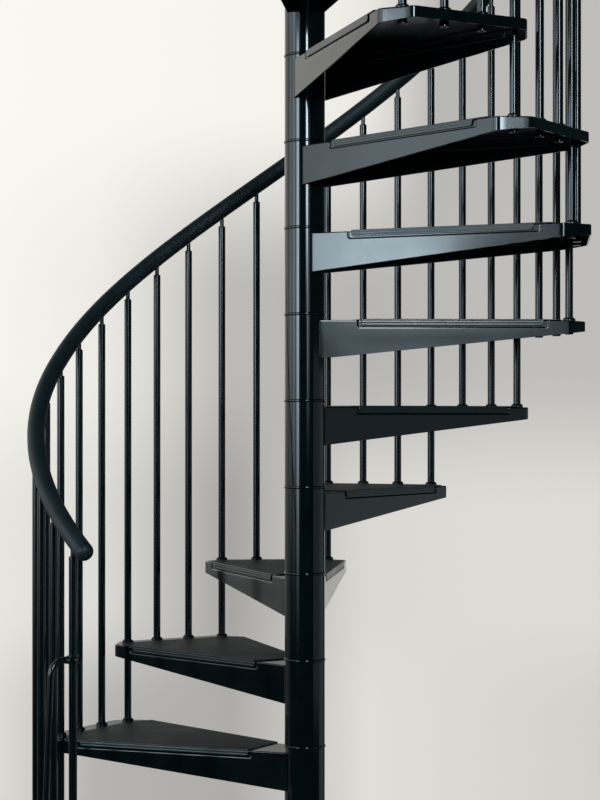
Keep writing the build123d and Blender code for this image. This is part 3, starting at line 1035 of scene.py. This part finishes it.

# %% [markdown]
# ## Background
#
# Gloss black shows little but reflections, so the room matters more than the paint. The world is a
# pale wall all round with painted light and shade on it: painted brighter on the left and falling off
# to the right, with a painted soft shadow of the stair on it. In front of the stair is a dim room
# where only lamps shine. Camera rays see the wall everywhere; reflected rays see the room.

# %% The world
world = bpy.data.worlds.new("studio")
bpy.context.scene.world = world
sky = empty_tree(world)
direction = add_node(sky, "ShaderNodeTexCoord")
axes = add_node(sky, "ShaderNodeSeparateXYZ")
connect(sky, (direction.outputs["Generated"], axes.inputs[0]))
wall_left, wall_right = -0.12, 0.22
across = spread(sky, axes.outputs["X"], 0.0, 1.0, wall_left, wall_right)


def painted_shade_wall_row(painted_shade_levels):
    """The wall from left to right at one height, with its painted light and shade, a little warmer where it
    is brighter.
    """
    tones = [(level, level * 0.985, level * (0.97 - 0.05 * level)) for level in painted_shade_levels]
    return ramp(sky, across, [(i / (len(tones) - 1), tone) for i, tone in enumerate(tones)])


# from the top row down, each lower row takes over between two elevations; the dark dips in the
# rows are a painted soft shadow of the stair, and the darker right side is painted fall-off of light
painted_shade_wall = painted_shade_wall_row((0.96, 0.95, 0.94, 0.93, 0.92, 0.90, 0.81, 0.48, 0.50, 0.52, 0.53))
for low, high, painted_shade_levels in ((0.06, 0.16, (0.94, 0.84, 0.50, 0.47, 0.52, 0.52)),
                          (-0.05, 0.03, (0.82, 0.72, 0.38, 0.70, 0.72, 0.72)),
                          (-0.15, -0.09, (0.82, 0.46, 0.42, 0.74, 0.68, 0.62))):
    painted_shade_wall = blend(sky, soft_step(sky, axes.outputs["Z"], low, high), painted_shade_wall_row(painted_shade_levels), painted_shade_wall)
print("wall nodes", len(sky.nodes))

# %% [markdown]
# ## What the gloss sees
#
# In reflections the wall stands behind the stair only. It dims towards the ceiling and, except on the
# right, towards the floor, and straight behind the stair it dims above eye level. In front of the
# stair there is a dark, slightly green room.

# %% The room in reflections
wall_direction = Vector((-0.454, 0.891, 0.0))
facing_wall = add_node(sky, "ShaderNodeVectorMath", {1: wall_direction}, operation="DOT_PRODUCT")
connect(sky, (direction.outputs["Generated"], facing_wall.inputs[0]))


def combine(operation, first, second):
    """Two values joined by a product or the like."""
    node = add_node(sky, "ShaderNodeMath", operation=operation)
    connect(sky, (first, node.inputs[0]), (second, node.inputs[1]))
    return node.outputs[0]


towards, sideways, upwards = facing_wall.outputs["Value"], axes.outputs["X"], axes.outputs["Z"]
behind = soft_step(sky, towards, 0.42, 0.72)
ceiling = soft_step(sky, upwards, 0.85, 0.25, 0.12, 1.0)
low_part = combine("MAXIMUM", soft_step(sky, upwards, -0.14, 0.04, 0.2, 1.0),
                   soft_step(sky, sideways, 0.10, 0.25))
straight_back = combine("MULTIPLY", soft_step(sky, upwards, 0.02, 0.10), soft_step(sky, sideways, -0.25, 0.0))
reflected = combine("MULTIPLY", behind, ceiling)
for share in (low_part, soft_step(sky, straight_back, 0.0, 1.0, 1.0, 0.4)):
    reflected = combine("MULTIPLY", reflected, share)
paths = add_node(sky, "ShaderNodeLightPath")
shown = combine("MAXIMUM", reflected, paths.outputs["Is Camera Ray"])
room_tone = (0.022, 0.040, 0.044, 1)
room = add_node(sky, "ShaderNodeMix", {"A": room_tone}, data_type="RGBA")
shine = add_node(sky, "ShaderNodeBackground")
sky_output = add_node(sky, "ShaderNodeOutputWorld")
# the wall's painted light and shade is what camera rays see, and what gloss reflects behind the stair
connect(sky, (shown, room.inputs["Factor"]), (painted_shade_wall, room.inputs["B"]),
        (room.outputs["Result"], shine.inputs["Color"]), (shine.outputs[0], sky_output.inputs["Surface"]))
print("world nodes", len(sky.nodes))

# %% [markdown]
# ## Floor
#
# The stair stands on a pale floor, a disc that fades out at its rim so that no horizon line crosses
# the wall. It is there for its soft shadow. A camera sees it as pale as the wall, with a little light
# of its own, and the rest of the room sees it darker, which keeps the undersides of the steps black.

# %% The floor
floor_radius = 2.6
floor_fade = (1.2, 2.5)
floor_glow = 0.30
floor_dim = ((0.22, 0.22, 0.21), (0.27, 0.27, 0.26))
floor_pale = ((0.72, 0.70, 0.67), (0.78, 0.76, 0.73))
floor_mesh = bpy.data.meshes.new("floor")
disc = bmesh.new()
bmesh.ops.create_circle(disc, cap_ends=True, segments=96, radius=floor_radius)
disc.to_mesh(floor_mesh)
disc.free()
floor = add_object("floor", floor_mesh)
floor_finish = bpy.data.materials.new("floor")
tree = empty_tree(floor_finish)
place = add_node(tree, "ShaderNodeTexCoord")
away = add_node(tree, "ShaderNodeVectorMath", operation="LENGTH")
grit = add_noise(tree, place, 3.0, 6.0)
seen = add_node(tree, "ShaderNodeLightPath").outputs["Is Camera Ray"]
dim, pale = [ramp(tree, grit, zip(noise_range, tones)) for tones in (floor_dim, floor_pale)]
matt = add_node(tree, "ShaderNodeBsdfDiffuse")
own_light = add_node(tree, "ShaderNodeEmission", {"Color": (1.0, 0.92, 0.86, 1)})
lit = add_node(tree, "ShaderNodeAddShader")
clear = add_node(tree, "ShaderNodeBsdfTransparent")
mix = add_node(tree, "ShaderNodeMixShader")
end = add_node(tree, "ShaderNodeOutputMaterial")
connect(tree, (place.outputs["Object"], away.inputs[0]),
        (blend(tree, seen, dim, pale), matt.inputs["Color"]),
        (spread(tree, seen, 0.0, floor_glow), own_light.inputs["Strength"]),
        (matt.outputs[0], lit.inputs[0]), (own_light.outputs[0], lit.inputs[1]),
        (soft_step(tree, away.outputs["Value"], *floor_fade), mix.inputs["Fac"]),
        (lit.outputs[0], mix.inputs[1]), (clear.outputs[0], mix.inputs[2]),
        (mix.outputs[0], end.inputs["Surface"]))
floor_mesh.materials.append(floor_finish)
print("floor radius", floor_radius, "m")


# %% [markdown]
# ## Lamps
#
# Tall soft windows on the left draw the upright streaks on every round bar, and a narrow gap near the
# camera draws one bright thin line. Four faint lamps in front lift the step sides that face the room.
# A window fades towards its sill, as daylight from a real window does, so the streaks die out down the
# column. The fade is made on the lamp itself, from the place on its rectangle.

# %% The lamps
daylight = (0.86, 0.96, 1.0)
sill_share = 0.02


def soft_window(name, left, right, distance, sill, head, radiance, fade):
    """A rectangular lamp between two azimuths from +X, facing the column and fading to its sill."""
    angle = math.radians((left + right) / 2)
    width = 2 * distance * math.tan(math.radians((right - left) / 2))
    lamp_data = bpy.data.lights.new(name, "AREA")
    lamp_data.shape = "RECTANGLE"
    lamp_data.size = width
    lamp_data.size_y = head - sill
    lamp_data.energy = math.pi * width * (head - sill)
    lamp_data.color = daylight
    glow = empty_tree(lamp_data)
    spot = add_node(glow, "ShaderNodeNewGeometry")
    split = add_node(glow, "ShaderNodeSeparateXYZ")
    light = add_node(glow, "ShaderNodeEmission")
    glow_end = add_node(glow, "ShaderNodeOutputLight")
    strength = soft_step(glow, split.outputs["Y"], 0.0, fade, sill_share * radiance, radiance)
    connect(glow, (spot.outputs["Parametric"], split.inputs[0]), (strength, light.inputs["Strength"]),
            (light.outputs[0], glow_end.inputs["Surface"]))
    lamp = add_object(name, lamp_data)
    height = (sill + head) / 2
    lamp.location = (distance * math.cos(angle), distance * math.sin(angle), height)
    lamp.rotation_euler = (Vector((0, 0, height)) - lamp.location).to_track_quat("-Z", "Y").to_euler()
    lamp.visible_camera = False
    print("lamp", name, "radiance", radiance)


window_distance, window_fade = 8.0, 2.5
window_bands = (
    ("window_far", -190.5, -184.0, 6.5, 1.5),
    ("window_corner", -184.0, -174.5, 6.5, 2.7),
    ("window_frame", -174.5, -167.0, 6.5, 1.0),
    ("window_side", -167.0, -152.5, 6.5, 3.8),
    ("window_post", -152.5, -141.5, 6.5, 2.2),
    ("window_main", -141.5, -132.5, 3.9, 9.0),
    ("window_bright", -132.5, -127.6, 3.9, 14.0),
    ("window_curtain", -127.6, -121.0, 6.5, 1.3),
)
front_lamps = (
    ("window_gap", -85.5, -76.0, 7.0, 2.05, 6.0, 26.0, 0.28),
    ("gap_glow", -81.0, -72.0, 7.2, 1.2, 3.2, 2.8, 0.4),
    ("gap_dim", -72.0, -64.0, 7.0, 1.2, 3.2, 0.85, 0.4),
    ("fill_front", -43.0, -4.0, 6.0, -0.4, 1.8, 0.30, 0.2),
    ("fill_right", -4.0, 36.0, 6.0, -1.0, 1.7, 0.35, 0.1),
)
for name, left, right, head, radiance in window_bands:
    soft_window(name, left, right, window_distance, 0.0, head, radiance, window_fade / head)
for row in front_lamps:
    soft_window(*row)
